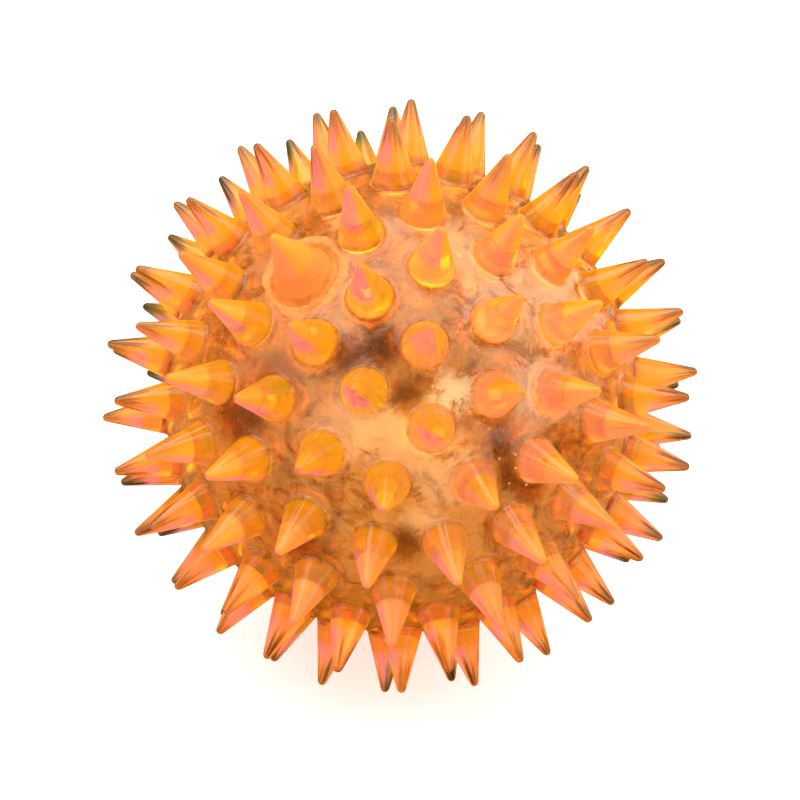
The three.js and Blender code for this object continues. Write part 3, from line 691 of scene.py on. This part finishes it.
def boardFinish():
    finish = Finish("boardLacquer")
    weave = finish.node("ShaderNodeTexWave", {"bands_direction": "X"}, {
        "Vector": finish.place(), "Scale": 900, "Distortion": 0.4})
    copper = finish.between(finish.grain(500, detail=0), 0.55, 0.57)
    finish.set(
        Base_Color=finish.mix(copper, rgb(0.02, 0.13, 0.045), rgb(0.06, 0.24, 0.08)),
        Roughness=0.34 + weave * 0.08)
    return finish.bump(weave * 0.3 + copper, 0.04 * mm, 0.5).material


def resinFinish():
    finish = Finish("blackResin", Coat_Weight=0.4)
    dimple = finish.grain(900, detail=2)
    finish.set(
        Base_Color=finish.mix(dimple, rgb(0.006, 0.006, 0.007), rgb(0.02, 0.019, 0.018)),
        Roughness=0.2 + dimple * 0.2)
    return finish.bump(dimple, 0.08 * mm, 0.4).material


def resistorFinish():
    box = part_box("chip_resistor")
    middle = (box[0].x + box[1].x) / 2
    half = (box[1].x - box[0].x) / 2
    finish = Finish("chipBody")
    across = finish.node("ShaderNodeSeparateXYZ", None, {0: finish.place()}) - middle
    size = finish.node("ShaderNodeMath", {"operation": "ABSOLUTE"}, {0: across})
    tinned = finish.between(size, 0.68 * half, 0.72 * half)
    grit = finish.grain(3000, detail=2)
    finish.set(
        Base_Color=finish.mix(tinned, rgb(0.015, 0.015, 0.018), rgb(0.7, 0.7, 0.68)),
        Metallic=tinned,
        Roughness=0.5 - tinned * 0.2 + grit * 0.15)
    return finish.bump(grit, 0.02 * mm, 0.4).material


def ledFinish(name, tint, glow, strength):
    finish = Finish(name, IOR=1.5, Transmission_Weight=0.6, Emission_Strength=strength)
    cloud = finish.grain(600, detail=2)
    finish.set(
        Base_Color=finish.mix(cloud, tint, rgb(*[0.7 * c + 0.25 for c in tint[:3]])),
        Roughness=0.08 + cloud * 0.12,
        Emission_Color=finish.mix(cloud, glow, rgb(*[0.8 * c for c in glow[:3]])))
    return finish.bump(cloud, 0.05 * mm, 0.3).material


def metalFinish(name, bright, dull, brushed):
    finish = Finish(name, Metallic=1.0)
    lines = finish.grain(1400, detail=3, stretch=brushed)
    tarnish = finish.between(finish.grain(260, detail=3), 0.45, 0.7)
    finish.set(
        Base_Color=finish.mix(tarnish, bright, dull),
        Roughness=0.2 + lines * 0.15 + tarnish * 0.12)
    return finish.bump(lines, 0.02 * mm, 0.4).material


def filmFinish():
    finish = Finish("shrinkFilm", IOR=1.45, Transmission_Weight=0.5)
    crease = finish.grain(500, detail=4, stretch=(0.3, 1.0, 1.0))
    finish.set(
        Base_Color=finish.mix(crease, rgb(0.8, 0.78, 0.72), rgb(0.62, 0.6, 0.55)),
        Roughness=0.2 + crease * 0.2)
    return finish.bump(crease, 0.1 * mm, 0.5).material


def dressModule():
    steel = metalFinish("cellSteel", rgb(0.72, 0.72, 0.7), rgb(0.5, 0.48, 0.44), (1.0, 0.2, 1.0))
    wire = metalFinish("springWire", rgb(0.7, 0.7, 0.69), rgb(0.45, 0.43, 0.4), (1.0, 1.0, 1.0))
    brass = metalFinish("contactBrass", rgb(0.72, 0.5, 0.2), rgb(0.5, 0.33, 0.13), (0.3, 1.0, 1.0))
    case = caseFinish()
    dressed = {
        "case_tray": case, "case_lid": case, "circuit_board": boardFinish(),
        "chip_glob": resinFinish(), "chip_resistor": resistorFinish(), "cell_sleeve": filmFinish(),
        "led_left": ledFinish("redLed", rgb(0.7, 0.05, 0.03), rgb(1.0, 0.1, 0.08), 0.0),
        "led_middle": ledFinish("greenLed", rgb(0.1, 0.55, 0.15), rgb(0.75, 1.0, 0.7), 6.0),
        "led_right": ledFinish("blueLed", rgb(0.06, 0.14, 0.6), rgb(0.3, 0.4, 1.0), 0.0),
        "plus_contact": brass, "minus_contact": brass, "motion_spring": wire, "motion_pin": wire,
        "cell_1": steel, "cell_2": steel, "cell_3": steel,
    }
    for node, material in dressed.items():
        cad[node].data.materials.clear()
        cad[node].data.materials.append(material)
    print("module dressed:", len(dressed), "nodes")


# pale floor, lifted for the camera so that its shadow stays faint, and dim for the light in the rubber
floor = {
    "reach": 1.6, "lift": 0.65, "pale": rgb(0.93, 0.925, 0.915), "shade": rgb(0.9, 0.895, 0.885),
    "dim": rgb(0.06, 0.055, 0.025),
}


def makeFloor():
    bm = bmesh.new()
    bmesh.ops.create_grid(bm, x_segments=8, y_segments=8, size=floor["reach"],
                          matrix=Matrix.Translation((0, 0, cadBox[0].z)))
    mesh = bpy.data.meshes.new("floor")
    bm.to_mesh(mesh)
    bm.free()
    finish = Finish("floorPaint", Emission_Strength=floor["lift"])
    mottle = finish.grain(9, detail=4)
    seen = finish.node("ShaderNodeLightPath", result="Is Camera Ray")
    paint = finish.mix(mottle, floor["pale"], floor["shade"])
    finish.set(
        Base_Color=finish.mix(seen, floor["dim"], paint),
        Emission_Color=finish.mix(seen, rgb(0, 0, 0), paint),
        Roughness=0.7 + mottle * 0.1)
    mesh.materials.append(finish.material)
    ground = bpy.data.objects.new("floor", mesh)
    bpy.context.scene.collection.objects.link(ground)
    print("floor laid")


# soft light from above and the sides; dark behind and straight ahead, so that the wall stays clear
studio = {
    "sky": rgb(1.0, 0.97, 0.94), "rear": rgb(0.03, 0.032, 0.018), "backdrop": rgb(0.93, 0.925, 0.915),
    "pinkLight": rgb(1.0, 0.52, 0.46), "front": rgb(0.12, 0.11, 0.1), "strength": 2.0,
    "rearIn": (-0.1, 0.4), "frontIn": (0.72, 0.93), "blushIn": (0.25, 0.8),
}
softboxes = [
    {"name": "sideBox", "at": (0.66, 0.44, 0.3), "size": 0.8, "power": 3.0, "tint": (1.0, 0.86, 0.84)},
    {"name": "topBox", "at": (-0.2, -0.1, 0.8), "size": 0.9, "power": 4.0, "tint": (1.0, 0.98, 0.95)},
]


def makeLight():
    world = bpy.data.worlds.new("studio")
    bpy.context.scene.world = world
    world.use_nodes = True
    kit = NodeKit(world.node_tree)
    way = kit.node("ShaderNodeTexCoord", result="Generated")
    across, depth, height = (
        kit.node("ShaderNodeSeparateXYZ", None, {0: way}, result=axis) for axis in "XYZ")
    aside = kit.node("ShaderNodeMath", {"operation": "ABSOLUTE"}, {0: across})
    behind = kit.between(depth + aside * 0.6 - height * 0.5, *studio["rearIn"])
    ahead = kit.between(height * rubber["front"][2] + depth * rubber["front"][1], *studio["frontIn"])
    pinkSide = kit.between(across * -0.6 - depth * 0.6 - height * 0.5, *studio["blushIn"])
    sky = kit.mix(behind, studio["sky"], studio["rear"])
    sky = kit.mix(pinkSide, sky, studio["pinkLight"])
    sky = kit.mix(ahead, sky, studio["front"])
    seen = kit.node("ShaderNodeLightPath", result="Is Camera Ray")
    sky = kit.mix(seen, sky, studio["backdrop"])
    background = world.node_tree.nodes["Background"]
    kit.feed(background.inputs["Color"], sky)
    background.inputs["Strength"].default_value = studio["strength"]
    for box in softboxes:
        data = bpy.data.lights.new(box["name"], "AREA")
        data.energy = box["power"]
        data.size = box["size"]
        data.color = box["tint"]
        light = bpy.data.objects.new(box["name"], data)
        light.location = box["at"]
        light.rotation_euler = (-Vector(box["at"])).to_track_quat("-Z", "Y").to_euler()
        bpy.context.scene.collection.objects.link(light)
    print("lights:", len(softboxes))


# camera at the photograph's angle: looking along +Y from above, with a slight roll
view = {
    "elevation": 23.755, "roll": 3.326, "distance": 183.66 * mm, "focal": 1431.95,
    "frame": 800, "centre": (400.15, 397.13), "sensor": 36, "nearest": 10 * mm,
}


def makeCamera():
    tilt = math.radians(view["elevation"])
    roll = math.radians(view["roll"])
    back = Vector((0, -math.cos(tilt), math.sin(tilt)))
    level = Vector((1, 0, 0))
    rise = back.cross(level)
    right = level * math.cos(roll) + rise * math.sin(roll)
    axes = Matrix((right, back.cross(right), back)).transposed()
    data = bpy.data.cameras.new("camera")
    data.sensor_width = view["sensor"]
    data.lens = view["focal"] / view["frame"] * data.sensor_width
    data.shift_x = (view["frame"] / 2 - view["centre"][0]) / view["frame"]
    data.shift_y = (view["centre"][1] - view["frame"] / 2) / view["frame"]
    data.clip_start = view["nearest"]
    camera = bpy.data.objects.new("camera", data)
    camera.matrix_world = Matrix.Translation(back * view["distance"]) @ axes.to_4x4()
    bpy.context.scene.collection.objects.link(camera)
    bpy.context.scene.camera = camera
    bpy.context.scene.view_settings.view_transform = "Standard"
    print("camera set at", view["elevation"], "degrees")


makeBall()
makePlug()
makeCement()
makePad()
dressModule()
makeFloor()
makeLight()
makeCamera()
